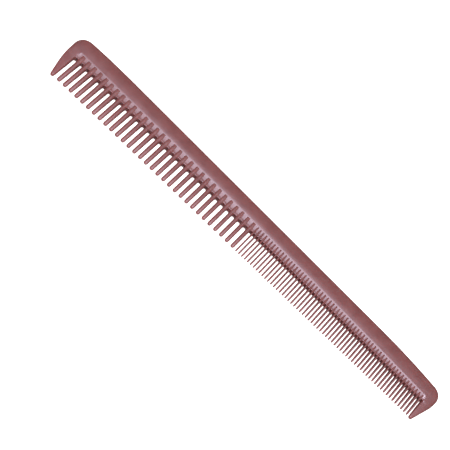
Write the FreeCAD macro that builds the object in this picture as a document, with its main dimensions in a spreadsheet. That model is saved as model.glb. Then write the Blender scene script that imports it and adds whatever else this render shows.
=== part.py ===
import FreeCAD, Part
import math
import os
import Sketcher

# Barber's cutting comb, one moulding divided at its natural features.
# X runs along the comb (coarse end at -X, fine end at +X), the tooth tips point to -Y,
# Z is the thickness. Bodies are drawn with the back edge at y = 0, the middle of the
# thickness at z = 0 and depths towards -Y, then placed so that the part stands on z = 0.

doc = FreeCAD.newDocument("cutting_comb")

# ---------------------------------------------------------------- driving dimensions, mm
SIZES = [
    ("overall_length", 180.4),
    ("overall_width", 21.25),            # back edge to the tip of the coarse end guard
    ("fine_end_width", 17.25),           # back edge to the tip of the fine end guard
    ("spine_thickness", 4.0),
    ("back_edge_fall", 0.45),            # the crown falls this much from the land to the back edge
    ("land_start", 3.2),                 # flat land of the spine, depth from the back edge
    ("land_end", 5.0),
    ("front_slope", 0.10),               # fall of the face per mm of depth past the land
    ("shoulder_depth", 6.3),             # where the scooped band starts
    ("scoop_width", 2.2),                # shoulder to web, along the depth
    ("scoop_radius", 9.0),
    ("web_share", 0.65),                 # thickness of the web, as a share of the spine's
    ("coarse_root_depth", 9.7),          # end of the tooth gaps at the coarse end
    ("fine_root_depth", 8.9),            # end of the tooth gaps at the fine end
    ("straight_back_coarse", 24.4),      # the back edge is straight from here, measured from the end
    ("straight_back_fine", 32.0),
    ("back_sweep_radius", 275.0),
    ("coarse_corner_radius", 4.8),
    ("fine_corner_radius", 4.2),
    ("coarse_flank_radius", 41.0),       # outer edge of the guard, above its straight run
    ("fine_flank_radius", 13.0),
    ("rim_radius", 1.2),                 # rounding of the spine's rim
    ("web_edge_radius", 0.3),
    ("coarse_row_length", 84.0),         # first to last coarse tooth
    ("coarse_pitch", 2.8),
    ("fine_pitch", 1.4),
    ("coarse_tooth_width", 1.56),        # beside the fine teeth
    ("coarse_end_tooth_width", 1.76),    # beside the coarse end guard
    ("fine_tooth_width", 0.68),
    ("row_gap", 0.89),                   # last coarse tooth to first fine tooth
    ("coarse_guard_width", 4.25),
    ("fine_guard_width", 4.4),           # at least; what the fine pitch leaves over is added
    ("coarse_guard_gap", 1.27),
    ("fine_guard_gap", 0.62),
    ("coarse_guard_tip_radius", 0.85),
    ("fine_guard_tip_radius", 0.75),
    ("tooth_setback", 0.2),              # tooth tips stop this short of the line between guard tips
    ("crest_step", 0.12),                # tooth crests start this far below the spine's face
    ("tip_thickness", 1.3),
    ("tooth_inset", 4.6),                # depth at which the teeth end inside the spine
    ("coarse_edge_radius", 0.55),
    ("fine_edge_radius", 0.26),
    ("guard_edge_radius", 0.5),
]

sheet = doc.addObject("Spreadsheet::Sheet", "Sizes")
for row, (alias, value) in enumerate(SIZES, start=1):
    sheet.set(f"A{row}", alias)
    sheet.set(f"B{row}", str(value))
    sheet.setAlias(f"B{row}", alias)
doc.recompute()


def size(alias):
    return float(sheet.get(alias))


# ---------------------------------------------------------------- places worked out from them
half_length = size("overall_length") / 2
half_thickness = size("spine_thickness") / 2
margin = 2.0                             # how far cutting shapes reach past the material
scoop_opening = 0.5                      # how far the scoop's cove carries on past the face
same_place = 1e-6                        # points closer than this are the same point
least_cut = 1e-3                         # a cut that removes less than this, in mm3, has missed

# tooth centres along X
first_coarse = (-half_length + size("coarse_guard_width") + size("coarse_guard_gap")
                + size("coarse_end_tooth_width") / 2)
coarse_count = math.floor(size("coarse_row_length") / size("coarse_pitch") + same_place) + 1
coarse_xs = [first_coarse + i * size("coarse_pitch") for i in range(coarse_count)]
first_fine = (coarse_xs[-1] + size("coarse_tooth_width") / 2 + size("row_gap")
              + size("fine_tooth_width") / 2)
last_fine = (half_length - size("fine_guard_width") - size("fine_guard_gap")
             - size("fine_tooth_width") / 2)
fine_count = math.floor((last_fine - first_fine) / size("fine_pitch") + same_place) + 1
fine_xs = [first_fine + i * size("fine_pitch") for i in range(fine_count)]

# inner edges of the two guards
coarse_inner = -half_length + size("coarse_guard_width")
fine_inner = fine_xs[-1] + size("fine_tooth_width") / 2 + size("fine_guard_gap")


def tip_share(x):
    """Place of x along the line between the two guard tips, from 0 to 1."""
    coarse_tip = coarse_inner - size("coarse_guard_tip_radius")
    fine_tip = fine_inner + size("fine_guard_tip_radius")
    return (x - coarse_tip) / (fine_tip - coarse_tip)


def tip_depth(x):
    taper = size("overall_width") - size("fine_end_width")
    return size("overall_width") - size("tooth_setback") - taper * tip_share(x)


flattest_share = 0.99                    # of the flattest flank arc that still runs into the tip


class End:
    """Corner, flank and tip of one end of the comb; side is -1 or +1 along X."""

    def __init__(self, name, side, inner, width_alias):
        self.name = name
        self.side = side
        self.inner = abs(inner)
        self.straight = size(f"straight_back_{name}")
        self.corner_radius = size(f"{name}_corner_radius")
        self.tip_radius = size(f"{name}_guard_tip_radius")
        self.width_alias = width_alias
        sweep = size("back_sweep_radius")
        corner_x = half_length - self.corner_radius
        run = corner_x - (half_length - self.straight)
        # depth of the corner's centre, with the corner arc tangent to the back's sweep
        self.corner_depth = sweep - math.sqrt((sweep - self.corner_radius) ** 2 - run ** 2)
        self.tip_x = self.inner + self.tip_radius
        self.tip_y = size(width_alias) - self.tip_radius
        # the flank arc may not be so flat that it misses the tip
        across = half_length - self.tip_x
        down = self.tip_y - self.corner_depth
        flattest = (across ** 2 + down ** 2 - self.tip_radius ** 2) / (2 * (across - self.tip_radius))
        self.flank_radius = min(size(f"{name}_flank_radius"), flattest_share * flattest)
        # the straight run touches the flank arc and the tip arc; its outward normal:
        dx = self.tip_x - (half_length - self.flank_radius)
        reach = math.hypot(dx, down)
        self.flank_angle = (math.atan2(down, dx)
                            - math.acos((self.flank_radius - self.tip_radius) / reach))
        # the root line leaves the comb here, on the flank's arc or on its straight run
        self.arc_depth = self.corner_depth + self.flank_radius * math.sin(self.flank_angle)
        self.root_depth = size(f"{name}_root_depth")
        self.root_on_arc = self.root_depth < self.arc_depth
        flank_x = half_length - self.flank_radius
        if self.root_on_arc:
            self.root_angle = math.asin((self.root_depth - self.corner_depth) / self.flank_radius)
            self.root_x = flank_x + self.flank_radius * math.cos(self.root_angle)
        else:
            self.root_angle = self.flank_angle
            self.root_x = (flank_x + self.flank_radius * math.cos(self.flank_angle)
                           - (self.root_depth - self.arc_depth) * math.tan(self.flank_angle))


ends = {
    "coarse": End("coarse", -1, coarse_inner, "overall_width"),
    "fine": End("fine", 1, fine_inner, "fine_end_width"),
}


def root_depth(x):
    """Depth at which the gaps between the teeth end: a straight line from flank to flank."""
    coarse, fine = ends["coarse"], ends["fine"]
    share = (x + coarse.root_x) / (fine.root_x + coarse.root_x)
    return coarse.root_depth + (fine.root_depth - coarse.root_depth) * share


# ---------------------------------------------------------------- helpers
def make_body(label):
    body = doc.addObject("PartDesign::Body", label)
    body.Label = label
    return body


def make_sketch(body, name, role):
    sketch = body.newObject("Sketcher::SketchObject", name)
    plane = next(f for f in body.Origin.OriginFeatures if f.Role == role)
    sketch.AttachmentSupport = (plane, [""])
    sketch.MapMode = "FlatFace"
    return sketch


def dimension(sketch, name, constraint, expression):
    """Add a driving constraint with a name and bind it to the sheet."""
    index = sketch.addConstraint(constraint)
    sketch.renameConstraint(index, name)
    sketch.setExpression(f"Constraints.{name}", expression)


def point(x, y):
    return FreeCAD.Vector(x, y, 0)


def segment(start, end):
    return Part.LineSegment(point(*start), point(*end))


def arc(centre, radius, start_angle, end_angle):
    circle = Part.Circle(point(*centre), FreeCAD.Vector(0, 0, 1), radius)
    return Part.ArcOfCircle(circle, start_angle, end_angle)


def polygon(sketch, points):
    """A closed run of straight lines, joined at their ends."""
    first = sketch.GeometryCount
    count = len(points)
    for i in range(count):
        sketch.addGeometry(segment(points[i], points[(i + 1) % count]))
    for i in range(count):
        sketch.addConstraint(Sketcher.Constraint("Coincident", first + i, 2, first + (i + 1) % count, 1))


def pad(body, sketch, name):
    feature = body.newObject("PartDesign::Pad", name)
    feature.Profile = sketch
    feature.SideType = "Symmetric"
    return feature


def pocket_through(body, sketch, name):
    """Cut a profile right through the body, both ways, and make sure that it cuts."""
    doc.recompute()
    before = body.Tip.Shape.Volume
    feature = body.newObject("PartDesign::Pocket", name)
    feature.Profile = sketch
    feature.Type = "ThroughAll"
    feature.Midplane = True
    doc.recompute()
    assert feature.Shape.Volume < before - least_cut, f"{name} cuts nothing"
    return feature


def edge_names(shape, wanted):
    return [f"Edge{i}" for i, edge in enumerate(shape.Edges, start=1) if wanted(edge)]


def middle(edge):
    return edge.valueAt((edge.FirstParameter + edge.LastParameter) / 2)


def rim_edges(shape):
    """Edges between the upright walls of a plate and its faces, the root line's wall left out."""
    found = []
    for face in shape.Faces:
        u_low, u_high, v_low, v_high = face.ParameterRange
        normal = face.normalAt((u_low + u_high) / 2, (v_low + v_high) / 2)
        centre = face.CenterOfMass
        if abs(normal.z) > same_place or abs(centre.y + root_depth(centre.x)) < same_place:
            continue
        found += [edge for edge in face.Edges if abs(middle(edge).z) > same_place]
    return found


def round_edges(body, name, wanted, radius_expression):
    doc.recompute()
    base = body.Tip
    names = edge_names(base.Shape, wanted)
    assert names, f"{name} finds no edge"
    feature = body.newObject("PartDesign::Fillet", name)
    feature.Base = (base, names)
    feature.setExpression("Radius", radius_expression)
    doc.recompute()
    return feature


# ---------------------------------------------------------------- teeth
edge_share = 0.42                        # a tooth's edge rounding takes at most this share of its width


def make_tooth(label, x, width_expression, edge_radius_alias):
    """A tapered bar from inside the spine to a rounded tip, at its place along the comb."""
    inset = size("tooth_inset")
    tip_radius = size("tip_thickness") / 2
    half_root = half_thickness - size("crest_step")
    centre_y = -(tip_depth(x) - tip_radius)
    dx = -inset - centre_y
    turn = math.atan2(half_root, dx) + math.acos(tip_radius / math.hypot(dx, half_root))
    upper = (centre_y + tip_radius * math.cos(turn), tip_radius * math.sin(turn))
    lower = (upper[0], -upper[1])

    body = make_body(label)
    side = make_sketch(body, f"{label}_side", "YZ_Plane")
    side.addGeometry(segment((-inset, half_root), upper))
    side.addGeometry(arc((centre_y, 0), tip_radius, turn, 2 * math.pi - turn))
    side.addGeometry(segment(lower, (-inset, -half_root)))
    side.addGeometry(segment((-inset, -half_root), (-inset, half_root)))
    side.addConstraint(Sketcher.Constraint("Tangent", 0, 2, 1, 1))
    side.addConstraint(Sketcher.Constraint("Tangent", 1, 2, 2, 1))
    side.addConstraint(Sketcher.Constraint("Coincident", 2, 2, 3, 1))
    side.addConstraint(Sketcher.Constraint("Coincident", 3, 2, 0, 1))
    side.addConstraint(Sketcher.Constraint("Vertical", 3))
    side.addConstraint(Sketcher.Constraint("PointOnObject", 1, 3, -1))
    dimension(side, "inset", Sketcher.Constraint("DistanceX", 3, 2, -1, 1, inset), "Sizes.tooth_inset")
    dimension(side, "half_root", Sketcher.Constraint("DistanceY", -1, 1, 3, 2, half_root),
              "Sizes.spine_thickness / 2 - Sizes.crest_step")
    dimension(side, "tip_radius", Sketcher.Constraint("Radius", 1, tip_radius), "Sizes.tip_thickness / 2")
    dimension(side, "reach", Sketcher.Constraint("DistanceX", 1, 3, -1, 1, -centre_y),
              "Sizes.overall_width - Sizes.tooth_setback - Sizes.tip_thickness / 2"
              f" - (Sizes.overall_width - Sizes.fine_end_width) * {tip_share(x):.9f}")
    bar = pad(body, side, f"{label}_bar")
    bar.setExpression("Length", width_expression)
    round_edges(body, f"{label}_edges",
                lambda e: (abs(abs(middle(e).x) - bar.Length.Value / 2) < same_place
                           and middle(e).y < -inset - same_place),
                f"min(Sizes.{edge_radius_alias}; {edge_share} * ({width_expression}))")
    body.Placement = FreeCAD.Placement(
        FreeCAD.Vector(x, size("overall_width") / 2, half_thickness), FreeCAD.Rotation())
    return body


def coarse_width_expression(i):
    share = 1 - i / (coarse_count - 1)
    return ("Sizes.coarse_tooth_width + (Sizes.coarse_end_tooth_width - Sizes.coarse_tooth_width)"
            f" * {share:.9f}")


coarse_teeth = [
    make_tooth(f"coarse_tooth_{i + 1:02d}", x, coarse_width_expression(i), "coarse_edge_radius")
    for i, x in enumerate(coarse_xs)
]
fine_bars = [
    make_tooth(f"fine_bar_{i + 1:02d}", x, "Sizes.fine_tooth_width", "fine_edge_radius")
    for i, x in enumerate(fine_xs)
]
fine_teeth = doc.addObject("Part::Compound", "fine_teeth")
fine_teeth.Label = "fine_teeth"
fine_teeth.Links = fine_bars
doc.recompute()


# ---------------------------------------------------------------- plan outline of the comb
def end_points(end):
    """The places where the lines and arcs of one end meet."""
    side = end.side
    corner = (side * (half_length - end.corner_radius), -end.corner_depth)
    sweep = (side * (half_length - end.straight), -size("back_sweep_radius"))
    lean = math.atan2(corner[1] - sweep[1], abs(corner[0] - sweep[0]))
    flank = (side * (half_length - end.flank_radius), -end.corner_depth)
    tip = (side * end.tip_x, -end.tip_y)

    def outward(centre, radius, angle):
        return (centre[0] + side * radius * math.cos(angle), centre[1] + radius * math.sin(angle))

    return {
        "sweep": sweep, "corner": corner, "flank": flank, "tip": tip, "lean": lean,
        "back": (sweep[0], 0.0),
        "flank_end": outward(flank, end.flank_radius, -end.flank_angle),
        "tip_outer": outward(tip, end.tip_radius, -end.flank_angle),
        "tip_inner": (side * end.inner, -end.tip_y),
        "root_outer": (side * end.root_x, -end.root_depth),
        "root_inner": (side * end.inner, -root_depth(side * end.inner)),
    }


def side_arc(side, centre, radius, high, low):
    """An arc on one end from the angle high to the angle low, both measured on the fine end."""
    if side > 0:
        return arc(centre, radius, low, high)
    return arc(centre, radius, math.pi - high, math.pi - low)


def chain_up(sketch, side, pieces):
    """Add lines and arcs that follow each other smoothly; returns their numbers."""
    # arcs run anticlockwise, so on the fine end each one finishes where the chain enters it
    numbers = [sketch.addGeometry(geometry) for geometry in pieces]
    for i in range(len(pieces) - 1):
        leave = 2 if isinstance(pieces[i], Part.LineSegment) or side < 0 else 1
        enter = 1 if isinstance(pieces[i + 1], Part.LineSegment) or side < 0 else 2
        sketch.addConstraint(Sketcher.Constraint("Tangent", numbers[i], leave, numbers[i + 1], enter))
    return numbers


def across(sketch, name, side, number, place, distance, expression):
    """Distance along X from the middle of the comb to a point of the sketch."""
    points = (-1, 1, number, place) if side > 0 else (number, place, -1, 1)
    dimension(sketch, name, Sketcher.Constraint("DistanceX", *points, distance), expression)


def draw_spine_end(sketch, end):
    """Sweep of the back, corner and flank down to the root line; returns first and last piece."""
    places = end_points(end)
    side = end.side
    pieces = [
        side_arc(side, places["sweep"], size("back_sweep_radius"), math.pi / 2, places["lean"]),
        side_arc(side, places["corner"], end.corner_radius, places["lean"], 0.0),
        side_arc(side, places["flank"], end.flank_radius, 0.0, -end.root_angle),
    ]
    if not end.root_on_arc:
        pieces.append(segment(places["flank_end"], places["root_outer"]))
    numbers = chain_up(sketch, side, pieces)
    sweep, corner, flank = numbers[:3]
    enter, leave = (2, 1) if side > 0 else (1, 2)
    dimension(sketch, f"{end.name}_sweep_radius",
              Sketcher.Constraint("Radius", sweep, size("back_sweep_radius")), "Sizes.back_sweep_radius")
    dimension(sketch, f"{end.name}_corner_radius",
              Sketcher.Constraint("Radius", corner, end.corner_radius), f"Sizes.{end.name}_corner_radius")
    dimension(sketch, f"{end.name}_flank_radius",
              Sketcher.Constraint("Radius", flank, end.flank_radius), f"{end.flank_radius:.9f}")
    across(sketch, f"{end.name}_half_length", side, flank, enter, half_length, "Sizes.overall_length / 2")
    sketch.addConstraint(Sketcher.Constraint("Horizontal", flank, enter, flank, 3))
    last_end = leave if end.root_on_arc else 2
    dimension(sketch, f"{end.name}_root_depth",
              Sketcher.Constraint("DistanceY", numbers[-1], last_end, -1, 1, end.root_depth),
              f"Sizes.{end.name}_root_depth")
    return sweep, numbers[-1], last_end


def draw_spine(sketch):
    """Plan outline of the spine, closed by the root line."""
    coarse = end_points(ends["coarse"])
    fine = end_points(ends["fine"])
    back = sketch.addGeometry(segment(coarse["back"], fine["back"]))
    coarse_sweep, coarse_last, coarse_end = draw_spine_end(sketch, ends["coarse"])
    fine_sweep, fine_last, fine_end = draw_spine_end(sketch, ends["fine"])
    root = sketch.addGeometry(segment(fine["root_outer"], coarse["root_outer"]))
    sketch.addConstraint(Sketcher.Constraint("Tangent", back, 2, fine_sweep, 2))
    sketch.addConstraint(Sketcher.Constraint("Tangent", back, 1, coarse_sweep, 1))
    sketch.addConstraint(Sketcher.Constraint("Coincident", fine_last, fine_end, root, 1))
    sketch.addConstraint(Sketcher.Constraint("Coincident", coarse_last, coarse_end, root, 2))
    sketch.addConstraint(Sketcher.Constraint("PointOnObject", back, 1, -1))
    for end, place in ((ends["coarse"], 1), (ends["fine"], 2)):
        across(sketch, f"{end.name}_straight", end.side, back, place, half_length - end.straight,
               f"Sizes.overall_length / 2 - Sizes.straight_back_{end.name}")


def draw_guard(sketch, end):
    """Plan outline of a guard, from the root line round its tip and back."""
    places = end_points(end)
    side = end.side
    pieces = []
    run_start = places["root_outer"]
    if end.root_on_arc:
        run_start = places["flank_end"]
        pieces.append(side_arc(side, places["flank"], end.flank_radius, -end.root_angle, -end.flank_angle))
    pieces.append(segment(run_start, places["tip_outer"]))
    pieces.append(side_arc(side, places["tip"], end.tip_radius, -end.flank_angle, -math.pi))
    pieces.append(segment(places["tip_inner"], places["root_inner"]))
    numbers = chain_up(sketch, side, pieces)
    tip, inner = numbers[-2:]
    root = sketch.addGeometry(segment(places["root_inner"], places["root_outer"]))
    enter = 2 if end.root_on_arc and side > 0 else 1
    sketch.addConstraint(Sketcher.Constraint("Coincident", inner, 2, root, 1))
    sketch.addConstraint(Sketcher.Constraint("Coincident", root, 2, numbers[0], enter))
    sketch.addConstraint(Sketcher.Constraint("Vertical", inner))
    across(sketch, "inner_edge", side, inner, 1, end.inner, f"{end.inner:.9f}")
    across(sketch, "root_outer", side, root, 2, end.root_x, f"{end.root_x:.9f}")
    dimension(sketch, "root_depth", Sketcher.Constraint("DistanceY", root, 2, -1, 1, end.root_depth),
              f"Sizes.{end.name}_root_depth")
    dimension(sketch, "tip_radius", Sketcher.Constraint("Radius", tip, end.tip_radius),
              f"Sizes.{end.name}_guard_tip_radius")
    dimension(sketch, "tip_depth", Sketcher.Constraint("DistanceY", tip, 3, -1, 1, end.tip_y),
              f"Sizes.{end.width_alias} - Sizes.{end.name}_guard_tip_radius")


# ---------------------------------------------------------------- spine
def face_height(depth):
    """Half thickness of the spine in front of its land."""
    return half_thickness - size("front_slope") * (depth - size("land_end"))


spine_body = make_body("spine_blank")
placed = FreeCAD.Placement(FreeCAD.Vector(0, size("overall_width") / 2, half_thickness), FreeCAD.Rotation())

outline = make_sketch(spine_body, "spine_outline", "XY_Plane")
draw_spine(outline)
plate = pad(spine_body, outline, "spine_plate")
plate.setExpression("Length", "Sizes.spine_thickness")
doc.recompute()

# the crowned face falls to the back edge, and slopes down in front of the land
faces = make_sketch(spine_body, "spine_faces", "YZ_Plane")
crown_radius = (size("land_start") ** 2 + size("back_edge_fall") ** 2) / (2 * size("back_edge_fall"))
crown_turn = math.asin(size("land_start") / crown_radius)
far_depth = size("overall_width") + margin
for side in (1, -1):
    top = side * half_thickness
    back_z = top - side * size("back_edge_fall")
    crown_centre = (-size("land_start"), top - side * crown_radius)
    crown_start = math.pi / 2 - crown_turn
    angles = (crown_start, math.pi / 2) if side > 0 else (-math.pi / 2, -crown_start)
    first = faces.GeometryCount
    faces.addGeometry(arc(crown_centre, crown_radius, *angles))
    faces.addGeometry(segment((-size("land_start"), top), (margin, top)))
    faces.addGeometry(segment((margin, top), (margin, back_z)))
    faces.addGeometry(segment((margin, back_z), (0, back_z)))
    land_end, back_end = (2, 1) if side > 0 else (1, 2)
    faces.addConstraint(Sketcher.Constraint("Coincident", first, land_end, first + 1, 1))
    faces.addConstraint(Sketcher.Constraint("Coincident", first + 1, 2, first + 2, 1))
    faces.addConstraint(Sketcher.Constraint("Coincident", first + 2, 2, first + 3, 1))
    faces.addConstraint(Sketcher.Constraint("Coincident", first + 3, 2, first, back_end))
    polygon(faces, [
        (-size("land_end"), top),
        (-far_depth, side * face_height(far_depth)),
        (-far_depth, top),
    ])
pocket_through(spine_body, faces, "spine_face_cut")

doc.recompute()
rim = rim_edges(spine_body.Tip.Shape)
round_edges(spine_body, "spine_rim", lambda e: any(e.isSame(other) for other in rim), "Sizes.rim_radius")

# the scooped band between the guards, on both faces
scoop = make_sketch(spine_body, "spine_scoop", "YZ_Plane")
shoulder = (-size("shoulder_depth"), face_height(size("shoulder_depth")))
web = (shoulder[0] - size("scoop_width"), size("web_share") * half_thickness)
above = half_thickness + margin
chord = math.hypot(web[0] - shoulder[0], web[1] - shoulder[1])
lean = math.atan2(shoulder[1] - web[1], shoulder[0] - web[0])
rise = math.sqrt(size("scoop_radius") ** 2 - chord ** 2 / 4)
cove = (
    (shoulder[0] + web[0]) / 2 - rise * math.sin(lean),
    (shoulder[1] + web[1]) / 2 + rise * math.cos(lean),
)
web_angle = math.atan2(web[1] - cove[1], web[0] - cove[0])
# the cove carries on upwards past the face, so that the two meet in one clean edge
open_z = half_thickness + scoop_opening
open_angle = math.asin((open_z - cove[1]) / size("scoop_radius"))
opening = (cove[0] + size("scoop_radius") * math.cos(open_angle), open_z)
for side in (1, -1):
    first = scoop.GeometryCount
    if side > 0:
        scoop.addGeometry(arc(cove, size("scoop_radius"), web_angle, open_angle))
    else:
        scoop.addGeometry(arc((cove[0], -cove[1]), size("scoop_radius"), -open_angle, -web_angle))
    corners = [opening, (opening[0], above), (-far_depth, above), (-far_depth, web[1]), web]
    corners = [(y, side * z) for y, z in corners]
    for start, stop in zip(corners, corners[1:]):
        scoop.addGeometry(segment(start, stop))
    at_shoulder, at_web = (2, 1) if side > 0 else (1, 2)
    scoop.addConstraint(Sketcher.Constraint("Coincident", first, at_shoulder, first + 1, 1))
    for i in range(first + 1, first + 4):
        scoop.addConstraint(Sketcher.Constraint("Coincident", i, 2, i + 1, 1))
    scoop.addConstraint(Sketcher.Constraint("Coincident", first + 4, 2, first, at_web))
doc.recompute()
before = spine_body.Tip.Shape.Volume
band = spine_body.newObject("PartDesign::Pocket", "spine_scoop_cut")
band.Profile = scoop
band.SideType = "Two sides"
band.Reversed = True
band.Length = fine_inner
band.Length2 = -coarse_inner
doc.recompute()
assert band.Shape.Volume < before - least_cut, "the scoop cuts nothing"


def on_web_edge(edge):
    """Top and bottom edges of the web's end, along the root line."""
    spot = middle(edge)
    on_line = abs(spot.y + root_depth(spot.x)) < 10 * same_place
    return on_line and edge.Length > half_length and abs(spot.z) > size("web_share") * half_thickness / 2


round_edges(spine_body, "spine_web_edge", on_web_edge, "Sizes.web_edge_radius")
spine_body.Placement = placed

# each tooth runs up into a pocket of its own shape
tooth_tools = doc.addObject("Part::Compound", "tooth_tools")
tooth_tools.Links = coarse_teeth + fine_bars
spine = doc.addObject("Part::Cut", "spine")
spine.Label = "spine"
spine.Base = spine_body
spine.Tool = tooth_tools
doc.recompute()


# ---------------------------------------------------------------- guards
def make_guard(end):
    """A wide end tooth that carries on the spine's face and thins towards its tip."""
    label = f"{end.name}_end_guard"
    body = make_body(label)
    plan = make_sketch(body, f"{label}_plan", "XY_Plane")
    draw_guard(plan, end)
    plate = pad(body, plan, f"{label}_plate")
    plate.setExpression("Length", "Sizes.spine_thickness")

    taper = make_sketch(body, f"{label}_taper", "YZ_Plane")
    half_tip = size("tip_thickness") / 2
    tip = size(end.width_alias)
    slope = (face_height(end.root_depth) - half_tip) / (tip - end.root_depth)
    start = end.root_depth - margin
    stop = tip + margin
    for side in (1, -1):
        clear = side * (half_thickness + margin)
        polygon(taper, [
            (-start, side * (half_tip + slope * (tip - start))),
            (-stop, side * (half_tip + slope * (tip - stop))),
            (-stop, clear),
            (-start, clear),
        ])
    pocket_through(body, taper, f"{label}_taper_cut")
    rim = rim_edges(body.Tip.Shape)
    round_edges(body, f"{label}_rim", lambda e: any(e.isSame(other) for other in rim),
                "Sizes.guard_edge_radius")
    body.Placement = placed
    return body


guards = [make_guard(end) for end in ends.values()]
doc.recompute()

# ---------------------------------------------------------------- checks and files
for thing in doc.Objects:
    assert not {"Invalid", "Error"} & set(thing.State), f"{thing.Label} has failed"

os.makedirs("parts", exist_ok=True)
for node in [spine, fine_teeth] + guards + coarse_teeth:
    shape = node.Shape
    assert not shape.isNull() and shape.isValid(), f"{node.Label} has no valid shape"
    shape.exportStep(f"parts/{node.Label}.step")
    print(f"{node.Label}: {len(shape.Solids)} solid(s), {shape.Volume:.1f} mm3")
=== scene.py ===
from math import acos, atan2, cos, hypot, pi, radians, sin, sqrt

import bmesh
import bpy
from mathutils import Matrix, Vector


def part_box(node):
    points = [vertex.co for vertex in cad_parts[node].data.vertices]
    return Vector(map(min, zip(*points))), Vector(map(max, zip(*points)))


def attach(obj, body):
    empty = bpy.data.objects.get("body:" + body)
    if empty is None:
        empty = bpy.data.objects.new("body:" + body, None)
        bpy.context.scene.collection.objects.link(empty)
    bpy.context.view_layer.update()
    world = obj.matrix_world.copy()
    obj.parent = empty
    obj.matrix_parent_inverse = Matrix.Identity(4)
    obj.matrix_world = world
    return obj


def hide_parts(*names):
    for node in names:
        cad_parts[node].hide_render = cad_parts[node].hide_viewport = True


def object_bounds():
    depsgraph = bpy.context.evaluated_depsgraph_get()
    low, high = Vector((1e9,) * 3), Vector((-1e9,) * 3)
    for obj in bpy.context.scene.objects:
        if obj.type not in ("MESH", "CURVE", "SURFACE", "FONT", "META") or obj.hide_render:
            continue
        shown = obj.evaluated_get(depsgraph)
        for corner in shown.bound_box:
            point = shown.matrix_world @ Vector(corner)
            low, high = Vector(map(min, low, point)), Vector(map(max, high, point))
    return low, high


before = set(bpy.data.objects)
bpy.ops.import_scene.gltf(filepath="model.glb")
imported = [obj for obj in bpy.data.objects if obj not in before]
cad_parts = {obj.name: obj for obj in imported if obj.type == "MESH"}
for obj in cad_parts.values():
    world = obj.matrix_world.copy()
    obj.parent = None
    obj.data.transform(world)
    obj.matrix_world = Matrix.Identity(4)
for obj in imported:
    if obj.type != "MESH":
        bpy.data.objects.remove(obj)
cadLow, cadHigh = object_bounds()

# Everything is shaped in millimetres with the back edge at y = 0, depths towards -y and the
# middle of the thickness at z = 0, then moved onto the frame by toFrame.
mm = 0.001
halfLength = (cadHigh.x - cadLow.x) / 2 / mm
halfThick = (cadHigh.z - cadLow.z) / 2 / mm
backY = cadHigh.y / mm
toFrame = Matrix.Translation((0, cadHigh.y, (cadLow.z + cadHigh.z) / 2)) @ Matrix.Scale(mm, 4)
sameSpot = 0.004                                 # points nearer than this are one point


def nodeBox(name):
    low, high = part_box(name)
    return low / mm, high / mm


coarseGuardLow, coarseGuardHigh = nodeBox("coarse_end_guard")
fineGuardLow, fineGuardHigh = nodeBox("fine_end_guard")

comb = {
    "crownDepth": 3.2, "crownFall": 0.45,        # the face falls towards the back edge
    "frontStart": 4.7, "frontSlope": 0.11, "frontSoft": 0.06,
    "shoulderMid": 5.95, "shoulderBow": 1.1,     # the shoulder line bows: deeper at the ends
    "webStartMid": 8.8, "webStartCoarse": 9.2, "webStartFine": 8.5,
    "webHalf": 1.26, "webDive": 0.6, "coveSag": 0.02,
    "shoulderSoft": 0.06, "webSoft": 0.10,       # how softly the face rolls into the cove and web
    "scoopCorner": 0.9, "scoopWall": 8,          # ends of the scoop: rounding from above, steepness
    "noseReach": 0.22, "noseFall": 0.25,         # edge rounding along the gap ends
    "rimRadius": 1.2, "guardRim": 0.5,
    "rimThins": (7.0, 11.5),                     # depths over which the rim becomes the guard's
    "rimTurns": (12, 26, 40, 55, 72, 90),        # degrees round the rim, one ring each
    "tipHalf": 0.65, "leastHalf": 0.015,
    "backSweep": 275.0,
    "flattest": 0.99,                            # of the flank arc that only just meets the tip
}
ends = {
    "coarse": {"side": -1, "straight": 24.4, "corner": 4.8, "flank": 41.0, "tipRadius": 0.85,
               "inner": -coarseGuardHigh.x, "tipDepth": backY - coarseGuardLow.y,
               "root": 9.7, "gap": 1.27},
    "fine": {"side": 1, "straight": 32.0, "corner": 4.2, "flank": 13.0, "tipRadius": 0.75,
             "inner": fineGuardLow.x, "tipDepth": backY - fineGuardLow.y,
             "root": 8.9, "gap": 0.62},
}
rootLine = 9.3                                   # section place of the gap ends
pastTips = 30                                    # section places run on this far past the gap ends


def blend(a, b, t):
    return a + (b - a) * t


def ease(low, high, x):
    t = min(1, max(0, (x - low) / (high - low)))
    return t * t * (3 - 2 * t)


def softMin(a, b, reach):
    # the lower of two heights, rounded where they come nearer than reach
    near = max(reach - abs(a - b), 0) / reach
    return min(a, b) - near * near * reach / 4


def endAt(x):
    return ends["coarse" if x < 0 else "fine"]


def rootDepth(x):
    return blend(ends["coarse"]["root"], ends["fine"]["root"], (x + halfLength) / (2 * halfLength))


# The shoulder, the web and the gap ends bow or slant along the comb. In section places they
# are straight, so that a flat cut can follow them; knots pairs true depths with places.
def knots(x):
    bow = (x / halfLength) ** 2
    webEnd = comb["webStartCoarse"] if x < 0 else comb["webStartFine"]
    shoulder = comb["shoulderMid"] + comb["shoulderBow"] * bow
    web = blend(comb["webStartMid"], webEnd, bow)
    root = rootDepth(x)
    return [(-1, -1), (0, 0), (comb["crownDepth"],) * 2, (shoulder, comb["shoulderMid"]),
            (web, comb["webStartMid"]), (root, rootLine), (root + pastTips, rootLine + pastTips)]


def along(pairs, value, a, b):
    for low, high in zip(pairs, pairs[1:]):
        if value <= high[a] or high is pairs[-1]:
            return blend(low[b], high[b], (value - low[a]) / (high[a] - low[a]))


def placeOf(x, depth):
    return along(knots(x), depth, 0, 1)


def depthOf(x, place):
    return along(knots(x), place, 1, 0)


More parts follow.
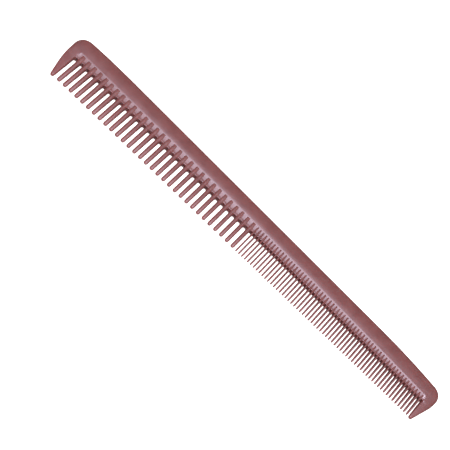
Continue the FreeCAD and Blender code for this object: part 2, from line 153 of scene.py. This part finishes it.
# heights of the upper face above the middle of the thickness
def faceHeight(depth, x):
    if depth < comb["crownDepth"]:
        return halfThick - comb["crownFall"] * (1 - depth / comb["crownDepth"]) ** 2
    end = endAt(x)
    sloped = halfThick - comb["frontSlope"] * (min(depth, end["root"]) - comb["frontStart"])
    if depth > end["root"]:
        down = (depth - end["root"]) / (end["tipDepth"] - end["root"])
        sloped = blend(sloped, comb["tipHalf"], down)
    return softMin(halfThick, sloped, comb["frontSoft"])


def coveHeight(x, place):
    start, stop = comb["shoulderMid"], comb["webStartMid"]
    web = comb["webHalf"]
    t = (place - start) / (stop - start)
    if t > 1:
        ramp = web - (t - 1) * comb["webDive"]
    else:
        ramp = blend(faceHeight(depthOf(x, start), x), web, t)
        ramp -= 4 * comb["coveSag"] * max(0, t) * (1 - t)
    return -softMin(-ramp, -web, comb["webSoft"])


def skinHeight(x, place):
    face = faceHeight(depthOf(x, place), x)
    inside = endAt(x)["inner"] - abs(x)          # from the guard's inner edge into the scoop
    corner, rim = comb["scoopCorner"], comb["guardRim"]
    if inside <= -rim:
        return face
    if inside >= corner:
        shift = 0
    else:
        shift = corner - sqrt(corner ** 2 - (corner - max(inside, 0)) ** 2)
    scooped = softMin(face, coveHeight(x, place - shift), comb["shoulderSoft"])
    if inside <= 0:
        drop = rim - sqrt(rim ** 2 - (rim + inside) ** 2)
    else:
        drop = rim + inside * comb["scoopWall"]
    return max(scooped, face - drop)


# plan of the back and the two guards
plan = {
    "sweepSteps": 8, "cornerSteps": 12, "flankSteps": 8, "tipSteps": 10, "archSteps": 4,
    "sideSteps": (0.25, 0.5, 0.75, 1),
    "columnStep": 4.0, "columnsEachWay": 21, "leastColumn": 0.05,
    "nearGuard": (-0.7, -0.5, -0.38, -0.25, -0.12, -0.03, 0.06, 0.16, 0.33, 0.55, 0.8, 1.1, 1.6),
    "backClear": 0.3, "gapClear": 0.05,          # no column this near to the end of a straight
    "rows": (0.5, 1.2, 1.9, 2.6, 3.2, 3.9, 4.4, 4.9, 5.2, 5.45, 5.6, 5.7, 5.78, 5.85, 5.91, 5.97,
             6.03, 6.1, 6.18, 6.28, 6.42, 6.6, 6.8, 7.05, 7.35, 7.65, 7.95, 8.2, 8.35, 8.45, 8.6,
             8.7, 8.8, 8.9, 9.0, 9.15, 10.6, 11.8, 13.2, 14.6, 16, 17.4, 18.8),
}


def planPlaces(end):
    side = end["side"]
    sweep, corner, tipR = comb["backSweep"], end["corner"], end["tipRadius"]
    run = end["straight"] - corner
    cornerDepth = sweep - sqrt((sweep - corner) ** 2 - run ** 2)
    tip = (end["inner"] + tipR, end["tipDepth"] - tipR)
    across, down = halfLength - tip[0], tip[1] - cornerDepth
    flattest = (across ** 2 + down ** 2 - tipR ** 2) / (2 * (across - tipR))
    flank = min(end["flank"], comb["flattest"] * flattest)
    dx = tip[0] - (halfLength - flank)
    return {
        "sweep": Vector((side * (halfLength - end["straight"]), -sweep, 0)),
        "corner": Vector((side * (halfLength - corner), -cornerDepth, 0)),
        "flank": Vector((side * (halfLength - flank), -cornerDepth, 0)),
        "tip": Vector((side * tip[0], -tip[1], 0)),
        "flankRadius": flank,
        "lean": atan2(down, dx) - acos((flank - tipR) / hypot(dx, down)),
        "turn": atan2(sweep - cornerDepth, run),
    }


def spinTo(bm, vert, centre, angle, steps):
    made = bmesh.ops.spin(bm, geom=[vert], cent=centre, axis=(0, 0, 1), angle=angle, steps=steps)
    return next(g for g in made["geom_last"] if isinstance(g, bmesh.types.BMVert))


def lineTo(bm, vert, spot):
    made = bmesh.ops.extrude_vert_indiv(bm, verts=[vert])["verts"][0]
    made.co = Vector((spot[0], spot[1], 0))
    return made


def sideTo(bm, vert, spot):
    start, stop = vert.co.copy(), Vector((spot[0], spot[1], 0))
    for t in plan["sideSteps"]:
        vert = lineTo(bm, vert, start.lerp(stop, t))
    return vert


def columnsX():
    each = plan["columnsEachWay"]
    spots = [i * plan["columnStep"] for i in range(-each, each + 1)]
    for end in ends.values():
        spots += [end["side"] * (end["inner"] - a) for a in plan["nearGuard"]]
    keep = []
    for x in sorted(round(spot, 3) for spot in spots):
        if not keep or x - keep[-1] > plan["leastColumn"]:
            keep.append(x)
    return keep


def drawPlan(bm, columns):
    # once round, from the start of the straight back over the fine end to the coarse end
    coarse, fine = planPlaces(ends["coarse"]), planPlaces(ends["fine"])
    backStart, backEnd = coarse["sweep"].x, fine["sweep"].x
    vert = bm.verts.new((backStart, 0, 0))
    for x in columns:
        if backStart + plan["backClear"] < x < backEnd - plan["backClear"]:
            vert = lineTo(bm, vert, (x, 0))
    vert = lineTo(bm, vert, (backEnd, 0))
    vert = spinTo(bm, vert, fine["sweep"], -(pi / 2 - fine["turn"]), plan["sweepSteps"])
    vert = spinTo(bm, vert, fine["corner"], -fine["turn"], plan["cornerSteps"])
    vert = spinTo(bm, vert, fine["flank"], -fine["lean"], plan["flankSteps"])
    outward = Vector((cos(fine["lean"]), -sin(fine["lean"]), 0))
    vert = sideTo(bm, vert, fine["tip"] + outward * ends["fine"]["tipRadius"])
    vert = spinTo(bm, vert, fine["tip"], -(pi - fine["lean"]), plan["tipSteps"])

    fineInner, fineArch = ends["fine"]["inner"], ends["fine"]["gap"] / 2
    archY = -rootDepth(fineInner) - fineArch
    vert = sideTo(bm, vert, (fineInner, archY))
    vert = spinTo(bm, vert, Vector((fineInner - fineArch, archY, 0)), pi / 2, plan["archSteps"])
    coarseInner, coarseArch = -ends["coarse"]["inner"], ends["coarse"]["gap"] / 2
    first, last = coarseInner + coarseArch + plan["gapClear"], fineInner - fineArch - plan["gapClear"]
    for x in reversed(columns):
        if first < x < last:
            vert = lineTo(bm, vert, (x, -rootDepth(x)))
    vert = lineTo(bm, vert, (coarseInner + coarseArch, -rootDepth(coarseInner)))
    archY = -rootDepth(coarseInner) - coarseArch
    vert = spinTo(bm, vert, Vector((coarseInner + coarseArch, archY, 0)), pi / 2, plan["archSteps"])

    vert = sideTo(bm, vert, (coarseInner, coarse["tip"].y))
    vert = spinTo(bm, vert, coarse["tip"], -(pi - coarse["lean"]), plan["tipSteps"])
    outward = Vector((-cos(coarse["lean"]), -sin(coarse["lean"]), 0))
    vert = sideTo(bm, vert, coarse["flank"] + outward * coarse["flankRadius"])
    vert = spinTo(bm, vert, coarse["flank"], -coarse["lean"], plan["flankSteps"])
    vert = spinTo(bm, vert, coarse["corner"], -coarse["turn"], plan["cornerSteps"])
    spinTo(bm, vert, coarse["sweep"], -(pi / 2 - coarse["turn"]), plan["sweepSteps"])
    bmesh.ops.remove_doubles(bm, verts=bm.verts, dist=sameSpot)


def loopOrder(bm):
    start = min(bm.verts, key=lambda v: (abs(v.co.y) > sameSpot, v.co.x))
    order = [start]
    edge = max(start.link_edges, key=lambda e: e.other_vert(start).co.x)
    while True:
        vert = edge.other_vert(order[-1])
        if vert is start:
            return order
        order.append(vert)
        edge = next(e for e in vert.link_edges if e is not edge)


def loopEdges(bm, order):
    return [bm.edges.get((order[i - 1], order[i])) for i in range(len(order))]


def growRing(bm, order):
    # a new ring of points joined to the last one, in the same order
    made = bmesh.ops.extrude_edge_only(bm, edges=loopEdges(bm, order))["geom"]
    fresh = {v for v in made if isinstance(v, bmesh.types.BMVert)}
    ring = []
    for vert in order:
        ring.append(next(e.other_vert(vert) for e in vert.link_edges if e.other_vert(vert) in fresh))
    return ring


def rimAt(x, depth):
    # how far the edge rounding reaches inward and how far it falls
    root, end = rootDepth(x), endAt(x)
    arch = end["gap"] / 2
    if end["inner"] - abs(x) > sameSpot and depth > root - arch / 2:
        t = min(1, max(0, (depth - root) / arch))
        return (blend(comb["noseReach"], comb["guardRim"], t),
                blend(comb["noseFall"], comb["guardRim"], t))
    rim = blend(comb["rimRadius"], comb["guardRim"], ease(*comb["rimThins"], depth))
    return rim, rim


def ringsInward(bm, drop):
    outline = order = loopOrder(bm)
    base, inward, rims = [], [], []
    for i, vert in enumerate(order):
        before = (vert.co - order[i - 1].co).normalized()
        after = (order[(i + 1) % len(order)].co - vert.co).normalized()
        way = (before + after).normalized()
        base.append(vert.co.copy())
        inward.append(Vector((way.y, -way.x, 0)))
        rims.append(rimAt(vert.co.x, -vert.co.y))
        vert[drop] = rims[-1][1]
    for turn in comb["rimTurns"]:
        order = growRing(bm, order)
        for vert, start, way, (reach, fall) in zip(order, base, inward, rims):
            vert.co = start + way * reach * (1 - cos(radians(turn)))
            vert[drop] = fall * (1 - sin(radians(turn)))
    filled = bmesh.ops.edgeloop_fill(bm, edges=loopEdges(bm, order))["faces"]
    return outline, filled


def combSkin():
    bm = bmesh.new()
    columns = columnsX()
    drawPlan(bm, columns)
    drop = bm.verts.layers.float.new("drop")     # how far the rim lies below the face
    outline, inner = ringsInward(bm, drop)
    for vert in bm.verts:
        vert.co.y = -placeOf(vert.co.x, -vert.co.y)
    geom = list({g for f in inner for g in [f, *f.edges, *f.verts]})
    cuts = [((0, -row, 0), (0, 1, 0)) for row in plan["rows"]]
    cuts += [((x, 0, 0), (1, 0, 0)) for x in columns]
    for spot, way in cuts:
        cut = bmesh.ops.bisect_plane(bm, geom=geom, dist=sameSpot, plane_co=spot, plane_no=way)
        geom = cut["geom"]
    for vert in bm.verts:
        vert.co.z = max(comb["leastHalf"], skinHeight(vert.co.x, -vert.co.y) - vert[drop])
    wall = bmesh.ops.extrude_edge_only(bm, edges=loopEdges(bm, outline))["geom"]
    for vert in wall:
        if isinstance(vert, bmesh.types.BMVert):
            vert.co.z = 0
    whole = bm.verts[:] + bm.edges[:] + bm.faces[:]
    bmesh.ops.mirror(bm, geom=whole, matrix=Matrix.Identity(4), merge_dist=1e-4, axis="Z")
    bmesh.ops.recalc_face_normals(bm, faces=bm.faces)
    whole = bm.verts[:] + bm.edges[:] + bm.faces[:]
    bmesh.ops.bisect_plane(
        bm, geom=whole, dist=sameSpot, plane_co=(0, -rootLine, 0), plane_no=(0, 1, 0))
    return bm


def cutPiece(skin, wanted):
    # the wanted part of the skin, its cut closed by a flat cap with sharp edges
    bm = skin.copy()
    away = [f for f in bm.faces if not wanted(f.calc_center_median())]
    bmesh.ops.delete(bm, geom=away, context="FACES")
    openEdges = [e for e in bm.edges if e.is_boundary]
    for cap in bmesh.ops.holes_fill(bm, edges=openEdges, sides=0)["faces"]:
        for edge in cap.edges:
            edge.smooth = False
    for vert in bm.verts:
        vert.co.y = -depthOf(vert.co.x, -vert.co.y)
    return bm


def toPiece(bm, name, nodes, material):
    for face in bm.faces:
        face.smooth = True
    mesh = bpy.data.meshes.new(name)
    bm.transform(toFrame)
    bm.to_mesh(mesh)
    bm.free()
    mesh.materials.append(material)
    piece = bpy.data.objects.new(name, mesh)
    bpy.context.scene.collection.objects.link(piece)
    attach(piece, "root")
    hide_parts(*nodes)
    return piece


# one tooth: a rib that starts blunt past the shoulder and thins to a rounded tip
tooth = {
    "tipHalf": 0.65, "crestDrop": 0.03, "crestCurve": 1.2,
    "noseStart": 0.22, "noseLength": 0.42, "noseHalf": 0.9,
    "roundBy": 1.5,                              # fully rounded this far past the gap end
    "fullest": 0.96, "tipFullest": 0.9,          # most of the half width that rounding may take
    "leastWide": 0.02, "flareStart": 0.35, "flareShare": 0.98,
    "flush": 1e-4,                               # nearer than this to the side is on the side
}
coarseTooth = {
    "radius": 0.72, "headRadius": 0.40, "narrow": 0.03, "pitch": 2.8,
    "turns": (0, 30, 60, 90), "sides": (0.8, 0.4, 0, -0.4, -0.8),
    "nose": (0, 25, 45, 65, 90), "arch": (-0.3, 0.0, 0.1, 0.25, 0.45, 0.7, 1.0),
    "length": (0.12, 0.5, 1.0), "tip": (28, 52, 74),
}
fineTooth = {
    "radius": 0.33, "headRadius": 0.22, "narrow": 0.03, "half": 0.34, "count": 60,
    "lastTip": 17.09,                            # depth of the tip beside the guard
    "turns": (0, 45, 90), "sides": (0.7, 0, -0.7),
    "nose": (0, 40, 90), "arch": (-0.3, 0.0, 0.2, 0.5, 1.0),
    "length": (0.15, 1.0), "tip": (35, 70),
}


def toothRing(cfg, halfWide, halfTall, radius, flareAt):
    # one section of a tooth, going round
    r = min(radius, halfWide * tooth["fullest"], halfTall * tooth["fullest"])
    points = []
    for sx, sz in ((1, 1), (-1, 1), (-1, -1), (1, -1)):
        for turn in cfg["turns"] if sx * sz > 0 else reversed(cfg["turns"]):
            x = sx * (halfWide - r + r * cos(radians(turn)))
            points.append((x, sz * (halfTall - r + r * sin(radians(turn)))))
        if sx * sz < 0:
            points += [(sx * halfWide, sz * (halfTall - r) * share) for share in cfg["sides"]]
    ring = []
    for x, z in points:
        if abs(x) > halfWide - tooth["flush"]:
            x += flareAt(z) if x > 0 else -flareAt(z)
        ring.append((x, z))
    return ring


def toothStations(cfg, x0, halfWide, archR, tipDepth):
    # depth, half width and half height of each section
    shoulder, root = depthOf(x0, comb["shoulderMid"]), rootDepth(x0)
    tipR = tooth["tipHalf"]
    crestTop = faceHeight(shoulder, x0) - tooth["crestDrop"]

    def crestAt(depth):
        t = (depth - shoulder) / (tipDepth - tipR - shoulder)
        return blend(crestTop, tipR, max(0, t) ** tooth["crestCurve"])

    stations = []
    for turn in cfg["nose"]:
        depth = shoulder + tooth["noseStart"] + tooth["noseLength"] * (1 - cos(radians(turn)))
        grow = sin(radians(turn))
        stations.append((depth, halfWide * grow, blend(tooth["noseHalf"], crestAt(depth), grow)))
    for share in cfg["arch"]:
        depth = root + share * archR
        stations.append((depth, halfWide, crestAt(depth)))
    for share in cfg["length"]:
        depth = blend(root + archR, tipDepth - tipR, share)
        stations.append((depth, halfWide * (1 - cfg["narrow"] * share), crestAt(depth)))
    endWide = halfWide * (1 - cfg["narrow"])
    soft = min(cfg["radius"], endWide * tooth["tipFullest"])
    for turn in cfg["tip"]:
        depth = tipDepth - tipR + tipR * sin(radians(turn))
        wide = endWide - soft * (1 - cos(radians(turn)))
        stations.append((depth, wide, tipR * cos(radians(turn))))
    return stations


def makeTooth(bm, cfg, x0, halfWide, archR, tipDepth):
    shoulder, root = depthOf(x0, comb["shoulderMid"]), rootDepth(x0)
    webHalf, fall = comb["webHalf"], comb["noseFall"]

    def flareFor(depth):
        # the foot of the tooth spreads to meet the arched end of the gap
        def flare(z):
            if abs(z) > webHalf:
                return 0
            rise = max(0, abs(z) - webHalf + fall) / fall
            s = depth - root + comb["noseReach"] * (1 - sqrt(1 - rise ** 2))
            if s >= archR or s <= -tooth["flareStart"] * archR:
                return 0
            return (archR - sqrt(archR ** 2 - (archR - max(s, 0)) ** 2)) * tooth["flareShare"]
        return flare

    ring = None
    for depth, wide, tall in toothStations(cfg, x0, halfWide, archR, tipDepth):
        grow = ease(shoulder, root + tooth["roundBy"], depth)
        radius = blend(cfg["headRadius"], cfg["radius"], grow)
        points = toothRing(cfg, max(wide, tooth["leastWide"]), tall, radius, flareFor(depth))
        if ring is None:
            ring = bmesh.ops.create_circle(bm, cap_ends=True, segments=len(points), radius=1)["verts"]
        else:
            ring = growRing(bm, ring)
        for vert, (x, z) in zip(ring, points):
            vert.co = (x0 + x, -depth, z)
    bmesh.ops.edgeloop_fill(bm, edges=loopEdges(bm, ring))


# the plastic; its noise scales are per metre
plasticLook = {
    "body": (0.230, 0.070, 0.064, 1), "deep": (0.190, 0.054, 0.050, 1),
    # the next colour is a painted glow of light shining through the thin teeth, growing towards the
    # tips
    "tipGlowAndDull": (0.25, 0.045, 0.032, 1), "tipwardBy": -0.0095, "tipwardMost": 0.8,
    # the next colour makes sharp convex edges and crests paler, picked out by pointiness
    "convexPale": (0.34, 0.15, 0.15, 1), "convexPaleMost": 0.5, "convexPaleFrom": 0.52, "convexPaleTo": 0.62,
    "rough": 0.37, "roughSpread": 0.07, "tipDull": 0.18,
    "mottleScale": 260, "grainScale": 5200, "grainDepth": 0.00003, "grainStrength": 0.25,
    "scratch": 0.10, "scratchStretch": (60, 2600, 2600), "scratchLean": (0, 0, 0.06),
    "scratchFrom": 0.62, "scratchTo": 0.72,
}


def combPlastic(look):
    mat = bpy.data.materials.new("mauveMouldedPlastic")
    mat.use_nodes = True
    nodes, links = mat.node_tree.nodes, mat.node_tree.links

    def add(kind, **values):
        made = nodes.new("ShaderNode" + kind)
        for name, value in values.items():
            made.inputs[name.replace("_", " ")].default_value = value
        return made

    def ranged(source, **values):
        made = add("MapRange", **values)
        links.new(source, made.inputs["Value"])
        return made.outputs["Result"]

    def maths(operation, *sources):
        made = nodes.new("ShaderNodeMath")
        made.operation = operation
        for socket, source in zip(made.inputs, sources):
            if isinstance(source, float):
                socket.default_value = source
            else:
                links.new(source, socket)
        return made.outputs[0]

    def mixed(share, first, second):
        made = nodes.new("ShaderNodeMix")
        made.data_type = "RGBA"
        links.new(share, made.inputs[0])
        if isinstance(first, tuple):
            made.inputs[6].default_value = first
        else:
            links.new(first, made.inputs[6])
        made.inputs[7].default_value = second
        return made.outputs[2]

    shader = nodes["Principled BSDF"]
    shader.inputs["IOR"].default_value = 1.6
    shader.inputs["Specular IOR Level"].default_value = 0.9
    shader.inputs["Specular Tint"].default_value = (0.84, 0.82, 1.0, 1)
    shader.inputs["Subsurface Weight"].default_value = 0.35
    shader.inputs["Subsurface Radius"].default_value = (1.0, 0.25, 0.2)
    shader.inputs["Subsurface Scale"].default_value = 0.001

    spot = nodes.new("ShaderNodeTexCoord").outputs["Object"]
    mottle = add("TexNoise", Scale=look["mottleScale"], Detail=5)
    grain = add("TexNoise", Scale=look["grainScale"], Detail=3)
    stretch = add("Mapping", Scale=look["scratchStretch"], Rotation=look["scratchLean"])
    streaks = add("TexNoise", Scale=1, Detail=2)
    place = nodes.new("ShaderNodeSeparateXYZ")
    for fed in (mottle, grain, stretch, place):
        links.new(spot, fed.inputs["Vector"])
    links.new(stretch.outputs["Vector"], streaks.inputs["Vector"])

    # colour: mottled; redder towards the tips, a painted glow of light shining through the thin
    # teeth; paler on sharp convex edges and crests
    patches = ranged(mottle.outputs["Fac"], From_Min=0.25, From_Max=0.6)
    tipGlowAndDull = ranged(place.outputs["Y"], From_Min=0.0, From_Max=look["tipwardBy"], To_Max=look["tipwardMost"])
    pointed = nodes.new("ShaderNodeNewGeometry").outputs["Pointiness"]
    convexPaleShare = ranged(pointed, From_Min=look["convexPaleFrom"], From_Max=look["convexPaleTo"], To_Max=look["convexPaleMost"])
    colour = mixed(patches, look["deep"], look["body"])
    colour = mixed(tipGlowAndDull, colour, look["tipGlowAndDull"])
    links.new(mixed(convexPaleShare, colour, look["convexPale"]), shader.inputs["Base Color"])

    # roughness: the mottle again, faint scratches along the comb, duller teeth
    rough = ranged(mottle.outputs["Fac"], To_Min=look["rough"] - look["roughSpread"],
                   To_Max=look["rough"] + look["roughSpread"])
    scratch = ranged(streaks.outputs["Fac"], From_Min=look["scratchFrom"],
                     From_Max=look["scratchTo"], To_Max=look["scratch"])
    rough = maths("ADD", rough, scratch)
    links.new(maths("MULTIPLY_ADD", tipGlowAndDull, look["tipDull"], rough), shader.inputs["Roughness"])

    bump = add("Bump", Strength=look["grainStrength"], Distance=look["grainDepth"])
    links.new(maths("SUBTRACT", grain.outputs["Fac"], scratch), bump.inputs["Height"])
    links.new(bump.outputs["Normal"], shader.inputs["Normal"])
    return mat


plastic = combPlastic(plasticLook)
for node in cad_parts.values():
    node.data.materials.clear()
    node.data.materials.append(plastic)
print("plastic mixed")


def onGuard(spot, side):
    return spot.x * side > 0 and -spot.y > rootLine


skin = combSkin()
back = cutPiece(skin, lambda spot: not (onGuard(spot, -1) or onGuard(spot, 1)))
toPiece(back, "combBack", ["spine"], plastic)
toPiece(cutPiece(skin, lambda spot: onGuard(spot, -1)), "coarseGuard", ["coarse_end_guard"], plastic)
toPiece(cutPiece(skin, lambda spot: onGuard(spot, 1)), "fineGuard", ["fine_end_guard"], plastic)
skin.free()
print("back and guards made")

for name in sorted(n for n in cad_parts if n.startswith("coarse_tooth")):
    low, high = nodeBox(name)
    wide = (high.x - low.x) / 2
    arch = coarseTooth["pitch"] / 2 - wide
    bm = bmesh.new()
    makeTooth(bm, coarseTooth, (low.x + high.x) / 2, wide, arch, backY - low.y)
    bmesh.ops.recalc_face_normals(bm, faces=bm.faces)
    toPiece(bm, "coarseTooth" + name[-2:], [name], plastic)
print("coarse teeth made")

# the tips of both rows lie on one slanting line
low, high = nodeBox("fine_teeth")
firstLow, firstHigh = nodeBox("coarse_tooth_01")
firstX, firstTip = (firstLow.x + firstHigh.x) / 2, backY - firstLow.y
half = fineTooth["half"]
lastX = high.x - half
finePitch = (lastX - low.x - half) / (fineTooth["count"] - 1)
bm = bmesh.new()
for i in range(fineTooth["count"]):
    x = low.x + half + i * finePitch
    tipDepth = blend(firstTip, fineTooth["lastTip"], (x - firstX) / (lastX - firstX))
    makeTooth(bm, fineTooth, x, half, finePitch / 2 - half, tipDepth)
bmesh.ops.recalc_face_normals(bm, faces=bm.faces)
toPiece(bm, "fineTeeth", ["fine_teeth"], plastic)
print("fine teeth made")

# floor: a plain glowing sheet, like the top of a light table
floorSheet = {"half": 1.5, "colour": (0.9, 0.9, 0.9, 1), "rough": 0.9, "glow": 1.0}
floorMesh = bpy.data.meshes.new("paleFloor")
bm = bmesh.new()
bmesh.ops.create_grid(bm, x_segments=2, y_segments=2, size=floorSheet["half"])
bm.to_mesh(floorMesh)
bm.free()
floor = bpy.data.objects.new("paleFloor", floorMesh)
bpy.context.scene.collection.objects.link(floor)
floor.visible_glossy = False
paper = bpy.data.materials.new("paleFloor")
paper.use_nodes = True
paperShader = paper.node_tree.nodes["Principled BSDF"]
paperShader.inputs["Base Color"].default_value = floorSheet["colour"]
paperShader.inputs["Roughness"].default_value = floorSheet["rough"]
paperShader.inputs["Emission Color"].default_value = (1, 1, 1, 1)
paperShader.inputs["Emission Strength"].default_value = floorSheet["glow"]
floorMesh.materials.append(paper)

# one soft box almost overhead, and an even room
overhead = {"power": 6.4, "size": (0.30, 0.24), "place": (0.0, -0.12, 0.77), "room": 0.17}
light = bpy.data.lights.new("overheadBox", "AREA")
light.energy = overhead["power"]
light.shape = "RECTANGLE"
light.size, light.size_y = overhead["size"]
lamp = bpy.data.objects.new("overheadBox", light)
lamp.location = overhead["place"]
lamp.rotation_euler = (-Vector(overhead["place"])).to_track_quat("-Z", "Y").to_euler()
bpy.context.scene.collection.objects.link(lamp)
world = bpy.data.worlds.new("studio")
bpy.context.scene.world = world
world.use_nodes = True
room = world.node_tree.nodes["Background"]
room.inputs["Color"].default_value = (1, 1, 1, 1)
room.inputs["Strength"].default_value = overhead["room"]

# the view: tilted back over the teeth, the comb slanting across the picture
view = {"lens": 110.67, "place": (-0.00157, -0.24672, 0.42250), "tilt": 30, "lean": 0.0108,
        "slant": 0.7844, "nearest": 0.01}
camera = bpy.data.objects.new("camera", bpy.data.cameras.new("camera"))
camera.data.lens = view["lens"]
camera.data.clip_start = view["nearest"]
turned = Matrix.Rotation(radians(view["tilt"]), 4, "X") @ Matrix.Rotation(view["lean"], 4, "Y")
turned = turned @ Matrix.Rotation(view["slant"], 4, "Z")
camera.matrix_world = Matrix.Translation(view["place"]) @ turned
bpy.context.scene.collection.objects.link(camera)
bpy.context.scene.camera = camera
bpy.context.scene.view_settings.view_transform = "Standard"
print("floor, light and camera set")
